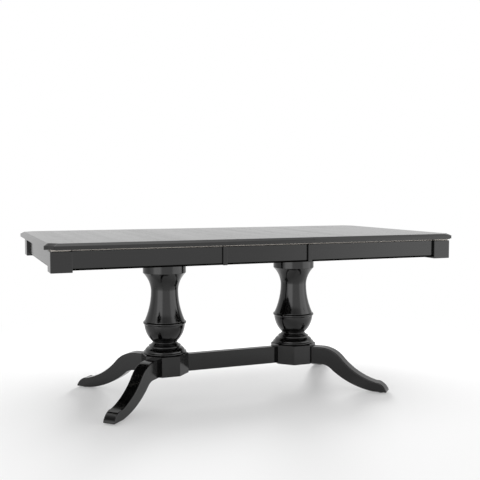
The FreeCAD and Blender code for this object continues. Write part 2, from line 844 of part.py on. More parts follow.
def make_half(side, sign, locator_holes, pivot_holes):
    first = cleat_start + size("screw_end_margin")
    last = runner_end - size("screw_end_margin")
    screws = []
    slab_tools = list(locator_holes) + list(pivot_holes)

    def drill(name, x, y, mouth):
        screws.append(screw(name, x, y, screw_head_top))
        hole = screw_hole(name + "_hole", x, y, screw_head_top, mouth)
        slab_tools.append(hole)
        return hole

    for face, face_sign in FACES:
        label = "runner_%s_%s" % (face, side)
        section, middle = runner_section(sign, face_sign)
        x = span(sign, -size("runner_overlap"), runner_end)
        blank = prism(label + "_blank", "YZ_Plane", section, x[0], x[1] - x[0])
        tools = []
        for index, place_x in enumerate(spread(first, last, SCREWS_PER_RUN)):
            tools.append(drill("%s_screw_%d" % (label, index), place_x * sign, middle, runner_bottom))
        keep(cut(label + "_cut", blank, tools), label)

    cleats = cleat_boards("cleat_" + side, sign)
    drilled = []
    for face_index, (face, face_sign) in enumerate(FACES):
        y = (cleat_inner_y + apron_back_y) / 2 * face_sign
        tools = []
        for index, place_x in enumerate(spread(first, last, SCREWS_PER_RUN)):
            name = "cleat_%s_%s_screw_%d" % (side, face, index)
            tools.append(drill(name, place_x * sign, y, cleat_bottom))
        drilled.append(cut("cleat_%s_%s_cut" % (side, face), cleats[face_index], tools))
    end_x = (cleat_inner_x + apron_back_x) / 2 * sign
    end_reach = end_cleat_reach - size("screw_end_margin")
    tools = []
    for index, y in enumerate((-end_reach, end_reach)):
        tools.append(drill("cleat_%s_end_screw_%d" % (side, index), end_x, y, cleat_bottom))
    drilled.append(cut("cleat_%s_end_cut" % side, cleats[-1], tools))
    group("cleats_" + side, drilled + spacer_boards("spacer_" + side, sign))

    rack, middle = rack_body(side, sign)
    foot_margin = size("rack_foot_length") / 4
    foot_ends = (size("rack_foot_start") + foot_margin,
                 size("rack_foot_start") + size("rack_foot_length") - foot_margin)
    tools = []
    for index, place_x in enumerate(foot_ends):
        tools.append(drill("rack_%s_screw_%d" % (side, index), place_x * sign, middle, gear_bottom))
    keep(cut("rack_%s_cut" % side, rack, tools), "rack_" + side)

    blank = slab("top_%s_blank" % side, half_points(sign, nothing), half_points(sign, size("edge_bevel")))
    keep(cut("top_%s_cut" % side, blank, slab_tools), "top_" + side)
    group("top_screws_" + side, screws)


def make_leaf(slots):
    blank = slab("top_leaf_blank", leaf_points(nothing), leaf_points(size("edge_bevel")))
    keep(cut("top_leaf_cut", blank, slots), "top_leaf")


# Bearers and fixed rails

def make_rails():
    bearer_x = {"centre_bearer": (nothing, size("centre_bearer_width"))}
    for side, sign in SIDES:
        bearer_x["bearer_" + side] = (size("pedestal_offset") * sign, size("bearer_width"))
    head_top = bearer_bottom + (size("bearer_thickness") - size("screw_grip"))
    rail_tools = {"front": [], "back": []}
    screws = []
    for label, (middle, width) in bearer_x.items():
        reach = rail_outer + size("bearer_overhang")
        height = (bearer_bottom, rail_bottom)
        blank = board(label + "_blank", centred(middle, width), (-reach, reach), height)
        tools = []
        for face, face_sign in FACES:
            for index, x in enumerate((middle - width / 4, middle + width / 4)):
                y = rail_middle * face_sign
                name = "%s_%s_screw_%d" % (label, face, index)
                screws.append(screw(name, x, y, head_top))
                hole = screw_hole(name + "_hole", x, y, head_top, bearer_bottom)
                tools.append(hole)
                rail_tools[face].append(hole)
        if label == "centre_bearer":
            pin_start = (middle, nothing, rail_bottom - size("pin_hold"))
            pin_bore = size("pin_radius") + size("bore_gap")
            tools.append(rod("pinion_pin_hole", pin_bore, size("pin_hold") + overrun, pin_start))
        else:
            pocket_start = (middle, nothing, rail_bottom - size("nut_pocket_depth"))
            pocket_length = size("nut_pocket_depth") + overrun
            tools.append(rod(label + "_nut_pocket", size("nut_pocket_radius"), pocket_length, pocket_start))
            tools.append(rod(label + "_rod_hole", bolt_bore, size("bearer_thickness") + overrun,
                             (middle, nothing, bearer_bottom - overrun)))
        keep(cut(label + "_cut", blank, tools), label)
    group("rail_screws", screws)

    half = size("rail_width") / 2
    web = half - size("groove_depth")
    for face, face_sign in FACES:
        side_points = [(half, rail_bottom), (half, groove_bottom), (web, groove_bottom),
                       (web, groove_top), (half, groove_top), (half, rail_top)]
        other_points = [(-y, z) for y, z in reversed(side_points)]
        middle = rail_middle * face_sign
        section = straight([(middle + y, z) for y, z in side_points + other_points])
        label = "rail_" + face
        blank = prism(label + "_blank", "YZ_Plane", section, -size("rail_length") / 2, size("rail_length"))
        keep(cut(label + "_cut", blank, rail_tools[face]), label)


# Pedestals: column, octagonal block, two feet, and the stretcher between the blocks

bolt_height = octagon_bottom + (size("foot_top") - octagon_bottom) / 2
recess_top = octagon_top - size("recess_ceiling")
dowel_bore = size("dowel_radius") + size("bore_gap")


def octagon(middle, half):
    corner_half = half * OCTAGON_SHARE
    corners = [(half, -corner_half), (half, corner_half), (corner_half, half), (-corner_half, half),
               (-half, corner_half), (-half, -corner_half), (-corner_half, -half), (corner_half, -half)]
    return straight([(middle + x, y) for x, y in corners])


def make_column(side, sign):
    label = "column_" + side
    height = bearer_bottom - octagon_top
    profile = [(size("cap_radius") * radius, octagon_top + height * rise, bulge)
               for radius, rise, bulge in COLUMN_SHARES]
    profile.append((bolt_bore, bearer_bottom, 0))
    profile.append((bolt_bore, octagon_top, 0))
    body = new_body(label)
    sketch = outline(body, label + "_profile", "XZ_Plane", profile)
    turned = body.newObject("PartDesign::Revolution", label + "_turned")
    turned.Profile = sketch
    turned.ReferenceAxis = (sketch, ["V_Axis"])
    turned.Angle = 360
    place(body, size("pedestal_offset") * sign, nothing, nothing)
    keep(body, label)


def arm_point(side_sign, direction, radius, z):
    """The point at a radius from a pedestal's axis, along a direction, at a height."""
    middle = size("pedestal_offset") * side_sign
    return (middle + radius * direction.x, radius * direction.y, z)


def flange_nut(name, seat, direction):
    """A nut whose flange lies on a seat and whose hexagon points along the direction."""
    x, y, z = seat

    def outward(distance):
        return (x + distance * direction.x, y + distance * direction.y, z + distance * direction.z)

    flange = rod(name + "_flange", size("flange_radius"), size("flange_height"), seat, direction)
    hexagon = doc.addObject("Part::Prism", name + "_hexagon")
    hexagon.Polygon = 6
    hexagon.Placement = FreeCAD.Placement(FreeCAD.Vector(), FreeCAD.Rotation(UP, direction))
    hexagon.setExpression("Circumradius", size("nut_corner_radius").text)
    hexagon.setExpression("Height", size("nut_height").text)
    place(hexagon, *seat)
    bore = rod(name + "_bore", bolt_bore, size("nut_height") + overrun * 2, outward(-overrun), direction)
    return cut(name, fused(name + "_solid", [flange, hexagon]), [bore])


def foot_outline():
    length = size("foot_reach") - apothem
    rise = size("foot_top") - size("glide_height")
    points = [(apothem, octagon_bottom, 0),
              (apothem + length * FOOT_HEEL_SHARE, octagon_bottom, FOOT_HEEL_BULGE_SHARE)]
    for reach, height, bulge in FOOT_SHARES:
        points.append((apothem + length * reach, size("glide_height") + rise * height, bulge))
    return points


def foot_body(name, sign, direction):
    half = size("foot_thickness") / 2
    body = prism(name + "_blank", "XZ_Plane", foot_outline(), -half, size("foot_thickness"))

    def on_side(edge):
        reach = [vertex.Point.x - apothem.value for vertex in edge.Vertexes]
        level = [abs(abs(vertex.Point.y) - half.value) for vertex in edge.Vertexes]
        return max(reach) > Part.Precision.confusion() and max(level) < Part.Precision.confusion()

    eased(body, name + "_ease", "PartDesign::Fillet", "Radius", size("foot_ease"), on_side)
    turn = FreeCAD.Rotation(LENGTHWISE, direction)
    body.Placement = FreeCAD.Placement(FreeCAD.Vector(), turn)
    place(body, size("pedestal_offset") * sign, nothing, nothing)
    return body


def joint_hardware(name, sign, direction):
    """The bolt, nut and dowels that hold an arm on an octagonal block, and the holes they need."""
    inner = size("recess_apothem") - size("nut_height") - size("bolt_tip")
    bolt_length = apothem + size("bolt_grip") - inner
    start = arm_point(sign, direction, inner, bolt_height)
    bolt = rod(name + "_bolt", size("bolt_radius"), bolt_length, start, direction)
    holes = [rod(name + "_bolt_hole", bolt_bore, bolt_length + size("bore_gap"), start, direction)]
    seat = arm_point(sign, direction, size("recess_apothem"), bolt_height)
    nut = flange_nut(name + "_nut", seat, direction * -1)
    dowels = []
    for level, step in (("lower", -1), ("upper", 1)):
        level_z = bolt_height + size("dowel_spread") * step
        start = arm_point(sign, direction, apothem - size("dowel_length") / 2, level_z)
        dowels.append(rod("%s_dowel_%s" % (name, level), size("dowel_radius"), size("dowel_length"),
                          start, direction))
        longer = size("dowel_length") + size("bore_gap")
        holes.append(rod("%s_dowel_hole_%s" % (name, level), dowel_bore, longer, start, direction))
    return bolt, nut, dowels, holes


def make_foot(face, side, face_sign, sign, hardware):
    label = "foot_%s_%s" % (face, side)
    direction = FreeCAD.Vector(sign, face_sign, 0) * DIAGONAL_SHARE
    body = foot_body(label, sign, direction)
    bolt, nut, dowels, holes = joint_hardware(label, sign, direction)
    glide_reach = size("foot_reach") - size("glide_inset")
    glide_base = arm_point(sign, direction, glide_reach, nothing)
    stem_start = arm_point(sign, direction, glide_reach, size("glide_height") - overrun)
    disc = rod(label + "_glide_disc", size("glide_radius"), size("glide_height"), glide_base)
    stem_length = size("glide_height") + size("stem_length")
    stem = rod(label + "_glide_stem", size("stem_radius"), stem_length, glide_base)
    stem_hole = rod(label + "_stem_hole", size("stem_radius") + size("bore_gap"),
                    size("stem_length") + overrun + size("bore_gap"), stem_start)
    keep(cut(label + "_cut", body, holes + [stem_hole]), label)
    hardware["bolts"].append(bolt)
    hardware["nuts"].append(nut)
    hardware["dowels"].extend(dowels)
    hardware["glides"].append(fused(label + "_glide", [disc, stem]))
    return holes


def make_stretcher(hardware):
    half = size("stretcher_thickness") / 2
    top = octagon_bottom + size("stretcher_height")
    end = size("pedestal_offset") - apothem
    section = straight([(-half, octagon_bottom), (half, octagon_bottom), (half, top), (-half, top)])
    body = prism("stretcher_blank", "YZ_Plane", section, -end, end * 2)

    def long_edge(edge):
        ends = [vertex.Point.x for vertex in edge.Vertexes]
        return abs(ends[0] - ends[1]) > end.value

    eased(body, "stretcher_ease", "PartDesign::Fillet", "Radius", size("stretcher_ease"), long_edge)
    block_holes = {}
    all_holes = []
    for side, sign in SIDES:
        direction = FreeCAD.Vector(-sign, 0, 0)
        bolt, nut, dowels, holes = joint_hardware("stretcher_" + side, sign, direction)
        hardware["bolts"].append(bolt)
        hardware["nuts"].append(nut)
        hardware["dowels"].extend(dowels)
        block_holes[side] = holes
        all_holes.extend(holes)
    keep(cut("stretcher_cut", body, all_holes), "stretcher")
    return block_holes


def make_block(side, sign, holes):
    label = "base_block_" + side
    middle = size("pedestal_offset") * sign
    outside = octagon(middle, apothem)
    body = prism(label + "_blank", "XY_Plane", outside, octagon_bottom, size("octagon_height"))
    top = octagon_top.value

    def top_edge(edge):
        return min(vertex.Point.z for vertex in edge.Vertexes) > top - Part.Precision.confusion()

    eased(body, label + "_ease", "PartDesign::Chamfer", "Size", size("octagon_ease"), top_edge)
    recess_start = octagon_bottom - overrun
    recess = prism(label + "_recess", "XY_Plane", octagon(middle, size("recess_apothem")), recess_start,
                   recess_top - recess_start)
    rod_start = (middle, nothing, recess_top - overrun)
    rod_hole = rod(label + "_rod_hole", bolt_bore, size("octagon_height"), rod_start)
    keep(cut(label + "_cut", body, [recess, rod_hole] + holes), label)


def make_base():
    hardware = {"bolts": [], "nuts": [], "dowels": [], "glides": []}
    block_holes = make_stretcher(hardware)
    tie_rods = []
    for side, sign in SIDES:
        make_column(side, sign)
        for face, face_sign in FACES:
            block_holes[side].extend(make_foot(face, side, face_sign, sign, hardware))
        make_block(side, sign, block_holes[side])
        middle = size("pedestal_offset") * sign
        upper_seat = rail_bottom - size("nut_pocket_depth")
        low = recess_top - size("nut_height") - size("bolt_tip")
        high = upper_seat + size("nut_height") + size("bolt_tip") / 2
        tie_rods.append(rod("tie_rod_" + side, size("bolt_radius"), high - low, (middle, nothing, low)))
        hardware["nuts"].append(flange_nut("tie_nut_low_" + side, (middle, nothing, recess_top), UP * -1))
        hardware["nuts"].append(flange_nut("tie_nut_high_" + side, (middle, nothing, upper_seat), UP))
    group("tie_rods", tie_rods)
    group("leg_bolts", hardware["bolts"])
    group("flange_nuts", hardware["nuts"])
    group("leg_dowels", hardware["dowels"])
    group("foot_glides", hardware["glides"])


def make_table():
    make_base()
    make_rails()
    make_pinion()
    locator_holes, leaf_slots = make_locators()
    pivot_holes = make_latches()
    for side, sign in SIDES:
        make_half(side, sign, locator_holes[side], pivot_holes[side])
    make_leaf(leaf_slots)
    make_aprons()
    make_joint_strips()
    make_leaf_battens()


def check_and_write():
    doc.recompute()
    for item in doc.Objects:
        if "Invalid" in item.State or "Error" in item.State:
            raise RuntimeError("%s failed: %s" % (item.Name, item.State))
    for item in nodes:
        if item.Shape.isNull() or not item.Shape.isValid() or not item.Shape.Solids:
            raise RuntimeError("%s has no valid solid" % item.Label)
    os.makedirs("parts", exist_ok=True)
    for item in nodes:
        item.Shape.exportStep("parts/%s.step" % item.Label)
        print("%-26s %2d solids %12.1f mm3" % (item.Label, len(item.Shape.Solids), item.Shape.Volume))
    print("%d sub-parts written" % len(nodes))


make_table()
check_and_write()
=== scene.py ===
import json
import math

import bmesh
import bpy
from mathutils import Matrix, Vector


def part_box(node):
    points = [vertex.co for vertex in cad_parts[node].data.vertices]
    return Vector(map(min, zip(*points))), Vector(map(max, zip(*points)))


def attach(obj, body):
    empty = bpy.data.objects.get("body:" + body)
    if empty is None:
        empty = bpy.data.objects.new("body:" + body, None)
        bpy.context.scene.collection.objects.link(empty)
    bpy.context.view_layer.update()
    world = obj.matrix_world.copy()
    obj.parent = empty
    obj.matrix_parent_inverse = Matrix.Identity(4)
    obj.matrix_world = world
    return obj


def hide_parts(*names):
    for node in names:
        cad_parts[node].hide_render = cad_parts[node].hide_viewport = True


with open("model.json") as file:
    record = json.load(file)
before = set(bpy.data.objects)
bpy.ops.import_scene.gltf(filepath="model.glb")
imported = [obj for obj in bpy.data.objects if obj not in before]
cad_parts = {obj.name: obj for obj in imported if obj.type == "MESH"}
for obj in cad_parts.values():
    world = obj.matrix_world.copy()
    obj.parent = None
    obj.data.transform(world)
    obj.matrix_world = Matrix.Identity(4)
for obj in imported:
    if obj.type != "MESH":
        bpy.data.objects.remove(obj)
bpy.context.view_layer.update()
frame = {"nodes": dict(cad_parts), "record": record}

scene = bpy.context.scene
nodeBody = {}
for bodyName, members in frame["record"]["behaviour"]["bodies"].items():
    for member in members:
        nodeBody[member] = bodyName
nodeSlot = {row["node"]: row["material_slot"] for row in frame["record"]["subparts"]}
print("frame loaded:", len(frame["nodes"]), "nodes")


# node maths: a wire is a socket that takes Python operators

class Wire:
    def __init__(self, graph, socket):
        self.graph = graph
        self.socket = socket

    def math(self, operation, *others):
        values = dict(enumerate((self,) + others))
        return self.graph.node("ShaderNodeMath", {"operation": operation}, values)

    def __add__(self, other):
        return self.math("ADD", other)

    def __sub__(self, other):
        return self.math("SUBTRACT", other)

    def __rsub__(self, other):
        return self.graph.node("ShaderNodeMath", {"operation": "SUBTRACT"}, {0: other, 1: self})

    def __mul__(self, other):
        return self.math("MULTIPLY", other)

    def __truediv__(self, other):
        return self.math("DIVIDE", other)

    __radd__ = __add__
    __rmul__ = __mul__


class Graph:
    def __init__(self, tree):
        self.tree = tree
        tree.nodes.clear()

    def node(self, kind, settings=None, sockets=None, out=0):
        made = self.tree.nodes.new(kind)
        for key, value in (settings or {}).items():
            setattr(made, key, value)
        for key, value in (sockets or {}).items():
            if isinstance(value, Wire):
                self.tree.links.new(value.socket, made.inputs[key])
            else:
                made.inputs[key].default_value = value
        if not made.outputs:
            return made
        return Wire(self, made.outputs[out])

    def split(self, vector):
        made = self.tree.nodes.new("ShaderNodeSeparateXYZ")
        self.tree.links.new(vector.socket, made.inputs[0])
        return [Wire(self, socket) for socket in made.outputs]


class Finish(Graph):
    def __init__(self, owner):
        owner.use_nodes = True
        super().__init__(owner.node_tree)
        self.owner = owner

    def smooth(self, value, low, high):
        return self.node("ShaderNodeMapRange", {"interpolation_type": "SMOOTHSTEP"},
                         {"Value": value, "From Min": low, "From Max": high})

    def blend(self, factor, first, second):
        return self.node("ShaderNodeMix", {"data_type": "RGBA"}, {0: factor, 6: first, 7: second}, out=2)

    def noise(self, where, scale, detail=2.0, roughness=0.5):
        return self.node("ShaderNodeTexNoise", {"noise_dimensions": "3D"},
                         {"Vector": where, "Scale": scale, "Detail": detail, "Roughness": roughness})

    def stretched(self, turn, stretch):
        place = self.node("ShaderNodeTexCoord", out="Object")
        turned = self.node("ShaderNodeMapping", {"vector_type": "TEXTURE"},
                           {"Vector": place, "Rotation": turn})
        return self.node("ShaderNodeMapping", {"vector_type": "POINT"},
                         {"Vector": turned, "Scale": stretch})

    def rays(self, *kinds):
        path = self.tree.nodes.new("ShaderNodeLightPath")
        total = Wire(self, path.outputs[kinds[0]])
        for kind in kinds[1:]:
            total = total + Wire(self, path.outputs[kind])
        return total.math("MINIMUM", 1.0)

    def output(self, shader, kind="ShaderNodeOutputMaterial"):
        self.node(kind, None, {"Surface": shader})
        return self.owner

    def surface(self, sockets):
        return self.output(self.node("ShaderNodeBsdfPrincipled", None, sockets))


class Shape(Graph):
    def __init__(self, name, inputs):
        super().__init__(bpy.data.node_groups.new(name, "GeometryNodeTree"))
        face = self.tree.interface
        face.new_socket("Geometry", in_out="OUTPUT", socket_type="NodeSocketGeometry")
        face.new_socket("Geometry", in_out="INPUT", socket_type="NodeSocketGeometry")
        self.identifiers = {}
        for label, kind in inputs.items():
            self.identifiers[label] = face.new_socket(label, in_out="INPUT", socket_type=kind).identifier
        start = self.tree.nodes.new("NodeGroupInput")
        self.given = {socket.name: Wire(self, socket) for socket in start.outputs}

    def join(self, *parts):
        made = self.tree.nodes.new("GeometryNodeJoinGeometry")
        for part in parts:
            self.tree.links.new(part.socket, made.inputs[0])
        return Wire(self, made.outputs[0])

    def vector(self, x, y, z):
        return self.node("ShaderNodeCombineXYZ", None, {"X": x, "Y": y, "Z": z})

    def raised(self, part, height):
        return self.node("GeometryNodeTransform", None,
                         {"Geometry": part, "Translation": self.vector(0.0, 0.0, height)})

    def finish(self, geometry):
        whole = self.node("GeometryNodeRealizeInstances", None, {"Geometry": geometry})
        painted = self.node("GeometryNodeSetMaterial", None,
                            {"Geometry": whole, "Material": self.given["Material"]})
        self.node("NodeGroupOutput", None, {"Geometry": painted})

    def grow(self, piece, values):
        modifier = piece.modifiers.new(self.tree.name, "NODES")
        modifier.node_group = self.tree
        for label, value in values.items():
            modifier[self.identifiers[label]] = value
        finishMesh(piece)


# black lacquer over grained wood, one material for each way the grain runs;
# boards under the slab are lacquered, but their downward faces get a matt black
# without reflection, painted shade for the dark line under the aprons
lacquerLook = {
    "deep": (0.0004, 0.0004, 0.0005, 1.0),
    "worn": (0.0013, 0.0012, 0.0012, 1.0),
    "shadeFinish": (0.0012, 0.0011, 0.0010, 1.0),
    "roughness": 0.11,
    "roughnessSpread": 0.045,
    "poreRoughness": 0.12,
    "ior": 1.5,
    "poreStretch": (14.0, 520.0, 520.0),
    "poreNoise": {"scale": 1.0, "detail": 3.0, "roughness": 0.6},
    "poreRange": (0.56, 0.74),
    "streakStretch": (0.9, 17.0, 17.0),
    "streakNoise": {"scale": 1.0, "detail": 3.0, "roughness": 0.55},
    "streakRange": (0.30, 0.70),
    "bumpStrength": 0.12,
    "bumpDepth": 0.00025,
    "shadeRoughness": 1.0,
    # boards whose downward faces get the painted shade
    "shadedBelowNodes": ("apron", "joint_strips"),
    "shadeBelowRange": (0.45, 0.65),
}
grainTurns = {
    "length": (0.0, 0.0, 0.0),
    "width": (0.0, 0.0, math.radians(90)),
    "upright": (0.0, math.radians(-90), 0.0),
    "footOdd": (0.0, 0.0, math.radians(45)),
    "footEven": (0.0, 0.0, math.radians(-45)),
}


def blackLacquer(grain, coverage):
    look = lacquerLook
    kit = Finish(bpy.data.materials.new("blackLacquer_%s_%s" % (grain, coverage)))
    pores = kit.noise(kit.stretched(grainTurns[grain], look["poreStretch"]), **look["poreNoise"])
    streaks = kit.noise(kit.stretched(grainTurns[grain], look["streakStretch"]), **look["streakNoise"])
    openPores = kit.smooth(pores, *look["poreRange"])
    streakMask = kit.smooth(streaks, *look["streakRange"])
    tone = kit.blend(streakMask, look["deep"], look["worn"])
    gloss = look["roughness"] + look["roughnessSpread"] * (streakMask - 0.5)
    gloss = gloss + look["poreRoughness"] * openPores
    bump = kit.node("ShaderNodeBump", None, {"Strength": look["bumpStrength"],
                                             "Distance": look["bumpDepth"], "Height": 1.0 - openPores})
    lacquer = kit.node("ShaderNodeBsdfPrincipled", None, {
        "Base Color": tone, "Roughness": gloss, "Normal": bump, "IOR": look["ior"]})
    if coverage == "whole":
        return kit.output(lacquer)
    # matt black without reflection on downward faces: painted shade
    shadeFinish = kit.node("ShaderNodeBsdfPrincipled", None, {
        "Base Color": look["shadeFinish"], "Roughness": look["shadeRoughness"], "Specular IOR Level": 0.0})
    rise = kit.split(kit.node("ShaderNodeNewGeometry", out="True Normal"))[2]
    below = kit.smooth(rise * -1.0, *look["shadeBelowRange"])
    return kit.output(kit.node("ShaderNodeMixShader", None, {0: below, 1: lacquer, 2: shadeFinish}))


# hardwood of the hidden frame: stained dark, or planed and left bare
hardwoodLooks = {
    "dark_hardwood": {"name": "darkHardwood", "light": (0.026, 0.021, 0.017, 1.0),
                      "dark": (0.010, 0.008, 0.007, 1.0), "roughness": 0.55},
    "bare_hardwood": {"name": "bareHardwood", "light": (0.52, 0.495, 0.46, 1.0),
                      "dark": (0.43, 0.405, 0.37, 1.0), "roughness": 0.62},
}
hardwoodGrain = {
    "ringStretch": (1.2, 26.0, 26.0),
    "ringNoise": {"scale": 1.0, "detail": 4.0, "roughness": 0.6},
    "ringWaves": 9.0,
    "ringShare": 0.6,
    "fibreStretch": (20.0, 600.0, 600.0),
    "fibreNoise": {"scale": 1.0, "detail": 3.0, "roughness": 0.6},
    "fibreRoughness": 0.15,
    "toneRange": (0.2, 0.8),
    "bumpStrength": 0.25,
    "bumpDepth": 0.0003,
}


def hardwood(slot, grain):
    look = dict(hardwoodLooks[slot], **hardwoodGrain)
    kit = Finish(bpy.data.materials.new("%s_%s" % (look["name"], grain)))
    rings = kit.noise(kit.stretched(grainTurns[grain], look["ringStretch"]), **look["ringNoise"])
    fibres = kit.noise(kit.stretched(grainTurns[grain], look["fibreStretch"]), **look["fibreNoise"])
    banded = (rings * look["ringWaves"]).math("SINE") * 0.5 + 0.5
    mixed = banded * look["ringShare"] + fibres * (1 - look["ringShare"])
    tone = kit.blend(kit.smooth(mixed, *look["toneRange"]), look["dark"], look["light"])
    bump = kit.node("ShaderNodeBump", None, {"Strength": look["bumpStrength"],
                                             "Distance": look["bumpDepth"], "Height": fibres})
    roughness = look["roughness"] + look["fibreRoughness"] * fibres
    return kit.surface({"Base Color": tone, "Roughness": roughness, "Normal": bump})


# zinc plated screws, bolts, rods and latches
zincLook = {"dark": (0.50, 0.51, 0.53, 1.0), "light": (0.70, 0.70, 0.71, 1.0), "roughness": 0.26,
            "roughnessSpread": 0.22, "spangleNoise": {"scale": 220.0, "detail": 3.0, "roughness": 0.6}}


def zincSteel():
    look = zincLook
    kit = Finish(bpy.data.materials.new("zincSteel"))
    place = kit.node("ShaderNodeTexCoord", out="Object")
    spangle = kit.noise(place, **look["spangleNoise"])
    tone = kit.blend(spangle, look["dark"], look["light"])
    roughness = look["roughness"] + look["roughnessSpread"] * spangle
    return kit.surface({"Base Color": tone, "Metallic": 1.0, "Roughness": roughness})


# moulded nylon of the pinion and its racks, dark plastic of the glides
plasticLooks = {
    "nylon": {"name": "mouldedNylon", "dark": (0.72, 0.70, 0.63, 1.0),
              "light": (0.84, 0.82, 0.76, 1.0), "roughness": 0.38},
    "glide_plastic": {"name": "glidePlastic", "dark": (0.018, 0.018, 0.018, 1.0),
                      "light": (0.04, 0.04, 0.04, 1.0), "roughness": 0.45},
}
plasticGrain = {"gritScale": 900.0, "gritRoughness": 0.15, "cloudScale": 30.0,
                "bumpStrength": 0.15, "bumpDepth": 0.0002}


def mouldedPlastic(slot):
    look = dict(plasticLooks[slot], **plasticGrain)
    kit = Finish(bpy.data.materials.new(look["name"]))
    place = kit.node("ShaderNodeTexCoord", out="Object")
    grit = kit.noise(place, look["gritScale"])
    tone = kit.blend(kit.noise(place, look["cloudScale"]), look["dark"], look["light"])
    bump = kit.node("ShaderNodeBump", None, {"Strength": look["bumpStrength"],
                                             "Distance": look["bumpDepth"], "Height": grit})
    roughness = look["roughness"] + look["gritRoughness"] * grit
    return kit.surface({"Base Color": tone, "Roughness": roughness, "Normal": bump})


finishes = {"zinc_steel": zincSteel()}
for slotName in plasticLooks:
    finishes[slotName] = mouldedPlastic(slotName)
for grainName in grainTurns:
    for coverage in ("whole", "shownFaces"):
        finishes["black_lacquer", grainName, coverage] = blackLacquer(grainName, coverage)
    for slotName in hardwoodLooks:
        finishes[slotName, grainName, "whole"] = hardwood(slotName, grainName)
print("finishes made:", len(finishes))


# which way the grain of each wooden node runs
grainWords = {
    "column": "upright", "corner_block": "upright", "joint_strips": "upright", "base_block": "upright",
    "foot_front_left": "footOdd", "foot_back_right": "footOdd",
    "foot_front_right": "footEven", "foot_back_left": "footEven",
    "top_": "width", "apron_end": "width", "bearer": "width", "centre_bearer": "width",
}


def finishOf(node):
    slot = nodeSlot[node]
    if slot in finishes:
        return finishes[slot]
    # boards under the slab get the painted shade on their downward faces
    coverage = "shownFaces" if node.startswith(lacquerLook["shadedBelowNodes"]) else "whole"
    for word, grain in grainWords.items():
        if node.startswith(word):
            return finishes[slot, grain, coverage]
    return finishes[slot, "length", coverage]


def settle(piece, node, material):
    piece.data.materials.clear()
    piece.data.materials.append(material)
    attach(piece, nodeBody[node])
    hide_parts(node)


def asPiece(name, mesh):
    piece = bpy.data.objects.new(name, mesh)
    scene.collection.objects.link(piece)
    return piece


def finishMesh(piece):
    raw = piece.data
    bpy.context.view_layer.update()
    graph = bpy.context.evaluated_depsgraph_get()
    finished = bpy.data.meshes.new_from_object(piece.evaluated_get(graph))
    piece.modifiers.clear()
    piece.data = finished
    finished.name = piece.name
    bpy.data.meshes.remove(raw)


# a CAD node's mesh is loose triangles, so a copy of it is welded first
weldLook = {"distance": 1e-6, "flatAngle": math.radians(0.4)}


def weldedMesh(node):
    made = bmesh.new()
    made.from_mesh(frame["nodes"][node].data)
    bmesh.ops.remove_doubles(made, verts=made.verts, dist=weldLook["distance"])
    return made


# every solid of the frame gets its edges eased, as sanded wood and tumbled metal have
easeWidths = {
    "top_": 0.0009, "apron": 0.0009, "corner_block": 0.0007, "joint_strips": 0.0009,
    "base_block": 0.0012, "foot_glides": 0.0012, "foot_": 0.0006, "stretcher": 0.0006,
    "column": 0.0007, "rail": 0.0010, "runner": 0.0010, "bearer": 0.0012, "centre_bearer": 0.0012,
    "cleats": 0.0010, "leaf_battens": 0.0010, "latch": 0.0004, "pinion": 0.0002, "rack": 0.0002,
}
easeLook = {"spare": 0.0004, "angle": math.radians(28), "segments": 2, "faceWeight": 100}


def easeWidth(node):
    for word, width in easeWidths.items():
        if node.startswith(word):
            return width
    return easeLook["spare"]


def easeEdges(piece, node):
    mesh = piece.data
    mesh.shade_smooth()
    mesh.set_sharp_from_angle(angle=easeLook["angle"])
    bevel = piece.modifiers.new("ease", "BEVEL")
    bevel.width = easeWidth(node)
    bevel.segments = easeLook["segments"]
    bevel.limit_method = "ANGLE"
    bevel.angle_limit = easeLook["angle"]
    shading = piece.modifiers.new("shading", "WEIGHTED_NORMAL")
    shading.keep_sharp = True
    shading.weight = easeLook["faceWeight"]
    finishMesh(piece)


def eased(node):
    made = weldedMesh(node)
    bmesh.ops.dissolve_limit(made, angle_limit=weldLook["flatAngle"], verts=made.verts, edges=made.edges)
    mesh = bpy.data.meshes.new(node + "_raw")
    made.to_mesh(mesh)
    made.free()
    piece = asPiece(node + "_eased", mesh)
    easeEdges(piece, node)
    settle(piece, node, finishOf(node))


turnedNodes = ("column_left", "column_right")
screwNodes = ("top_screws_left", "top_screws_right", "rail_screws")
for nodeName in sorted(frame["nodes"]):
    if nodeName not in turnedNodes + screwNodes:
        eased(nodeName)
print("solids eased")


# columns, turned by geometry nodes from one outline
columnTurning = {
    "capRadius": 0.098,
    "boreRadius": 0.0051,
    "segments": 160,
    "arcStep": math.radians(4),
    # radius share, height share and bulge share of the stretch to the next point, bottom to top
    "outline": (
        (0.962, 0.000, 0.45), (0.962, 0.021, 0.0), (0.938, 0.021, 0.13), (0.779, 0.064, 0.0),
        (0.747, 0.068, 0.0), (0.747, 0.082, -0.08), (0.565, 0.115, 0.0), (0.565, 0.120, 0.096),
        (0.947, 0.299, 0.0), (0.947, 0.306, 0.45), (0.932, 0.338, 0.0), (0.926, 0.345, -0.052),
        (0.630, 0.660, -0.095), (1.000, 0.848, 0.0), (1.000, 1.000, 0.0),
    ),
}


def arcPoints(start, end, bulge, step):
    chord = end - start
    if bulge == 0:
        return [start]
    radius = chord.length * (bulge * bulge + 0.25) / (2 * abs(bulge))
    outward = Vector((chord.y, -chord.x)).normalized() * math.copysign(1.0, bulge)
    centre = (start + end) / 2 - outward * (radius - abs(bulge) * chord.length)
    sweep = 2 * math.asin(min(1.0, chord.length / (2 * radius)))
    if abs(bulge) > 0.5:
        sweep = 2 * math.pi - sweep
    count = max(2, math.ceil(sweep / step))
    turn = math.copysign(sweep / count, bulge)
    points = []
    for index in range(count):
        spoke = start - centre
        c, s = math.cos(turn * index), math.sin(turn * index)
        points.append(centre + Vector((spoke.x * c - spoke.y * s, spoke.x * s + spoke.y * c)))
    return points


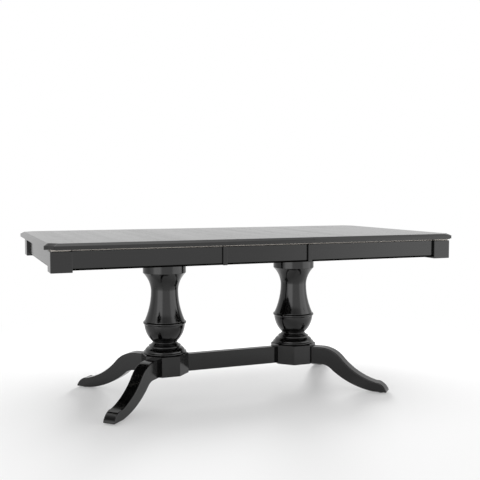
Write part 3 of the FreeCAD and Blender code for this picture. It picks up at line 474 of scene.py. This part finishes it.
def columnOutline(low, high):
    look = columnTurning
    corners = []
    for radius, rise, bulge in look["outline"]:
        corners.append((Vector((look["capRadius"] * radius, low + (high - low) * rise)), bulge))
    points = [Vector((look["boreRadius"], low))]
    for (start, bulge), (end, _) in zip(corners, corners[1:]):
        points.extend(arcPoints(start, end, bulge, look["arcStep"]))
    points.append(corners[-1][0])
    points.append(Vector((look["boreRadius"], high)))
    points.append(points[0])
    return points


def turningShape():
    shape = Shape("turnedColumn", {"Segments": "NodeSocketInt", "Axis": "NodeSocketVector",
                                   "Material": "NodeSocketMaterial"})
    outline = shape.given["Geometry"]
    segments = shape.given["Segments"]
    count = shape.node("GeometryNodeAttributeDomainSize", {"component": "MESH"}, {"Geometry": outline},
                       out="Point Count")
    sheet = shape.node("GeometryNodeMeshGrid", None, {
        "Size X": count - 1.0, "Size Y": segments, "Vertices X": count, "Vertices Y": segments + 1.0})
    place = shape.node("GeometryNodeInputPosition")
    along, around, _ = shape.split(place)
    index = (along + (count - 1.0) * 0.5).math("ROUND")
    point = shape.node("GeometryNodeSampleIndex", {"data_type": "FLOAT_VECTOR", "domain": "POINT"},
                       {"Geometry": outline, "Value": place, "Index": index})
    radius, _, height = shape.split(point)
    turn = around / segments * (2 * math.pi)
    ring = shape.vector(radius * turn.math("COSINE"), radius * turn.math("SINE"), height)
    wrapped = shape.node("GeometryNodeSetPosition", None, {"Geometry": sheet, "Position": ring})
    closed = shape.node("GeometryNodeMergeByDistance", None, {
        "Geometry": wrapped, "Distance": weldLook["distance"]})
    outward = shape.node("GeometryNodeFlipFaces", None, {"Mesh": closed})
    moved = shape.node("GeometryNodeTransform", None,
                       {"Geometry": outward, "Translation": shape.given["Axis"]})
    shape.finish(moved)
    return shape


turning = turningShape()
for nodeName in turnedNodes:
    low, high = (Vector(corner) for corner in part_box(nodeName))
    axis = (low + high) / 2
    points = columnOutline(low.z, high.z)
    mesh = bpy.data.meshes.new(nodeName + "_outline")
    mesh.from_pydata([(point.x, 0.0, point.y) for point in points], [], [])
    piece = asPiece(nodeName + "_turned", mesh)
    turning.grow(piece, {"Segments": columnTurning["segments"], "Axis": (axis.x, axis.y, 0.0),
                         "Material": finishOf(nodeName)})
    easeEdges(piece, nodeName)
    settle(piece, nodeName, finishOf(nodeName))
print("columns turned")


# wood screws, head down, at every place where the frame has one
screwLook = {
    "Head Radius": 0.0045,
    "Head Taper": 0.86,
    "Head Height": 0.003,
    "Shank Radius": 0.00225,
    "Shank Length": 0.029,
    "Body Share": 0.8,
    "Tip Share": 0.05,
    "Thread Depth": 0.0006,
    "Thread Pitch": 0.0024,
    "Recess Width": 0.0009,
    "Recess Reach": 0.0052,
    "Recess Depth": 0.0016,
    "Sides": 24,
    "Thread Steps": 14,
    "Thread Sides": 4,
    "Seed": 4,
}


# each screw of the node is one island of joined points; its place is the middle of its head's face
def screwPlaces(node):
    made = weldedMesh(node)
    left = set(made.verts)
    places = []
    while left:
        island = []
        edge = [left.pop()]
        while edge:
            vertex = edge.pop()
            island.append(vertex.co.copy())
            fresh = [link.other_vert(vertex) for link in vertex.link_edges]
            fresh = [other for other in set(fresh) if other in left]
            left.difference_update(fresh)
            edge.extend(fresh)
        low, high = (Vector(pick(axis) for axis in zip(*island)) for pick in (min, max))
        places.append(((low.x + high.x) / 2, (low.y + high.y) / 2, low.z))
    made.free()
    return places


def screwShape():
    inputs = {}
    for label, value in screwLook.items():
        inputs[label] = "NodeSocketInt" if isinstance(value, int) else "NodeSocketFloat"
    inputs["Material"] = "NodeSocketMaterial"
    shape = Shape("woodScrew", inputs)
    given = shape.given
    headHeight = given["Head Height"]
    depth = given["Recess Depth"]
    head = shape.node("GeometryNodeMeshCone", None, {
        "Vertices": given["Sides"], "Radius Bottom": given["Head Radius"] * given["Head Taper"],
        "Radius Top": given["Head Radius"], "Depth": headHeight})
    arms = []
    for wide, deep in (("Recess Reach", "Recess Width"), ("Recess Width", "Recess Reach")):
        arms.append(shape.node("GeometryNodeMeshCube", None,
                               {"Size": shape.vector(given[wide], given[deep], depth * 2.0)}))
    socketed = shape.node("GeometryNodeMeshBoolean", {"operation": "DIFFERENCE", "solver": "EXACT"}, {
        "Mesh 1": head, "Mesh 2": shape.join(*arms), "Self Intersection": True})
    core = given["Shank Radius"] - given["Thread Depth"]
    body = given["Shank Length"] * given["Body Share"]
    shank = shape.node("GeometryNodeMeshCylinder", None, {
        "Vertices": given["Sides"], "Radius": core, "Depth": body})
    tip = shape.node("GeometryNodeMeshCone", None, {
        "Vertices": given["Sides"], "Radius Bottom": core, "Radius Top": core * given["Tip Share"],
        "Depth": given["Shank Length"] - body})
    half = given["Thread Depth"] * 0.5
    spiral = shape.node("GeometryNodeCurveSpiral", None, {
        "Resolution": given["Thread Steps"], "Rotations": body / given["Thread Pitch"],
        "Height": body - half * 2.0,
        "Start Radius": core + half, "End Radius": core + half})
    wire = shape.node("GeometryNodeCurvePrimitiveCircle", None, {
        "Resolution": given["Thread Sides"], "Radius": half})
    thread = shape.node("GeometryNodeCurveToMesh", None, {
        "Curve": spiral, "Profile Curve": wire, "Fill Caps": True})
    screw = shape.join(socketed, shape.raised(shank, headHeight + body * 0.5),
                       shape.raised(tip, headHeight + body), shape.raised(thread, headHeight + half))
    turn = shape.node("FunctionNodeRandomValue", {"data_type": "FLOAT"},
                      {2: 0.0, 3: 2 * math.pi, "Seed": given["Seed"]}, out=1)
    placed = shape.node("GeometryNodeInstanceOnPoints", None, {
        "Points": given["Geometry"], "Instance": screw, "Rotation": shape.vector(0.0, 0.0, turn)})
    shape.finish(placed)
    return shape


screwing = screwShape()
for nodeName in screwNodes:
    mesh = bpy.data.meshes.new(nodeName + "_places")
    mesh.from_pydata(screwPlaces(nodeName), [], [])
    piece = asPiece(nodeName + "_threaded", mesh)
    screwing.grow(piece, dict(screwLook, Material=finishOf(nodeName)))
    piece.data.shade_smooth()
    piece.data.set_sharp_from_angle(angle=easeLook["angle"])
    settle(piece, nodeName, finishOf(nodeName))
print("screws threaded")


# plain pale floor that partly glows for the camera and in reflections, painted light that softens the
# shadows under the table; the glow is a painted grey shade near the table and fades to white away from
# the table
floorLook = {"reach": 3.0, "sides": 96, "colour": (0.90, 0.90, 0.90, 1.0), "glow": 0.34,
             "near": (0.80, 0.80, 0.80, 1.0), "far": (1.0, 1.0, 1.0, 1.0), "fadeFrom": 0.7, "fadeTo": 2.3,
             "mirrorFrom": 0.5, "mirrorTo": 2.7}


def makeFloor():
    look = floorLook
    made = bmesh.new()
    bmesh.ops.create_circle(made, cap_ends=True, radius=look["reach"], segments=look["sides"])
    mesh = bpy.data.meshes.new("floor")
    made.to_mesh(mesh)
    made.free()
    floor = asPiece("floor", mesh)
    kit = Finish(bpy.data.materials.new("paleFloor"))
    place = kit.node("ShaderNodeTexCoord", out="Object")
    reach = kit.node("ShaderNodeVectorMath", {"operation": "LENGTH"}, {0: place}, out="Value")
    far = kit.smooth(reach, look["fadeFrom"], look["fadeTo"])
    matt = kit.node("ShaderNodeBsdfDiffuse", None, {"Color": look["colour"]})
    # glow with painted grey shade near the table, fading to white further out
    glow = kit.node("ShaderNodeEmission", None,
                    {"Color": kit.blend(far, look["near"], look["far"]), "Strength": 1.0})
    seen = kit.rays("Is Camera Ray", "Is Glossy Ray", "Is Transmission Ray")
    share = seen * (look["glow"] + (1.0 - look["glow"]) * far)
    lit = kit.node("ShaderNodeMixShader", None, {0: share, 1: matt, 2: glow})
    faded = kit.rays("Is Glossy Ray") * kit.smooth(reach, look["mirrorFrom"], look["mirrorTo"])
    fromBelow = kit.node("ShaderNodeNewGeometry", out="Backfacing")
    gone = (faded + fromBelow).math("MINIMUM", 1.0)
    clear = kit.node("ShaderNodeBsdfTransparent")
    kit.output(kit.node("ShaderNodeMixShader", None, {0: gone, 1: lit, 2: clear}))
    mesh.materials.append(kit.owner)


# studio surroundings: white to the camera, with soft brighter panels in reflections
worldLook = {"front": 1.2, "left": 1.3, "right": 0.95, "above": 0.8, "back": 0.72, "dim": 0.14,
             "leftTurns": ((-84, -66), (-26, -40)), "rightTurns": ((22, 36), (92, 78)),
             "aboveRange": (0.78, 0.94), "lowRange": (0.60, 0.40), "belowRange": (-0.85, -0.08),
             "behindRange": (-0.1, 0.35), "seenAs": (1.0, 1.0, 1.0, 1.0)}


def makeWorld():
    look = worldLook
    world = bpy.data.worlds.new("studio")
    scene.world = world
    kit = Finish(world)
    way = kit.node("ShaderNodeTexCoord", out="Generated")
    across, depth, rise = kit.split(way)
    turn = across.math("ARCTAN2", depth * -1.0) * (180 / math.pi)
    above = kit.smooth(rise, *look["aboveRange"])
    low = kit.smooth(rise, *look["lowRange"])
    below = kit.smooth(rise, *look["belowRange"])
    behind = kit.smooth(depth, *look["behindRange"])
    level = look["front"]
    for side in ("left", "right"):
        opens, closes = look[side + "Turns"]
        level = level + kit.smooth(turn, *opens) * kit.smooth(turn, *closes) * look[side]
    level = level * (look["dim"] + (1 - look["dim"]) * low) * (1 - behind)
    level = (level + behind * look["back"]) * (1 - above)
    level = (level + above * (look["front"] + look["above"])) * below
    seen = kit.rays("Is Camera Ray", "Is Transmission Ray")
    background = kit.node("ShaderNodeBackground", None,
                          {"Color": look["seenAs"], "Strength": seen + (1 - seen) * level})
    kit.output(background, "ShaderNodeOutputWorld")


# one low lamp behind the table's right end draws the short shadows on the floor
lamps = {
    "lowKey": {"place": (1.5, 2.9, 1.0), "aim": (0.0, 0.0, 0.1), "size": 1.0, "power": 140.0},
}


def makeLamps():
    for name, look in lamps.items():
        data = bpy.data.lights.new(name, "AREA")
        data.shape = "DISK"
        data.size = look["size"]
        data.energy = look["power"]
        lamp = bpy.data.objects.new(name, data)
        scene.collection.objects.link(lamp)
        lamp.location = look["place"]
        aim = Vector(look["aim"]) - Vector(look["place"])
        lamp.rotation_euler = aim.to_track_quat("-Z", "Y").to_euler()
        lamp.visible_glossy = False
        lamp.visible_camera = False


# camera solved from the photo's edges
cameraLook = {"place": (-1.2508, -3.2511, 0.9393), "yaw": 21.73, "pitch": 3.71,
              "lens": 55.58, "sensor": 36.0}


def makeCamera():
    look = cameraLook
    data = bpy.data.cameras.new("photoCamera")
    data.sensor_width = look["sensor"]
    data.lens = look["lens"]
    camera = bpy.data.objects.new("photoCamera", data)
    scene.collection.objects.link(camera)
    camera.location = look["place"]
    camera.rotation_euler = (math.radians(90 - look["pitch"]), 0.0, math.radians(-look["yaw"]))
    scene.camera = camera


makeFloor()
makeWorld()
makeLamps()
makeCamera()
scene.view_settings.view_transform = "Standard"
print("stage, lights and camera set")
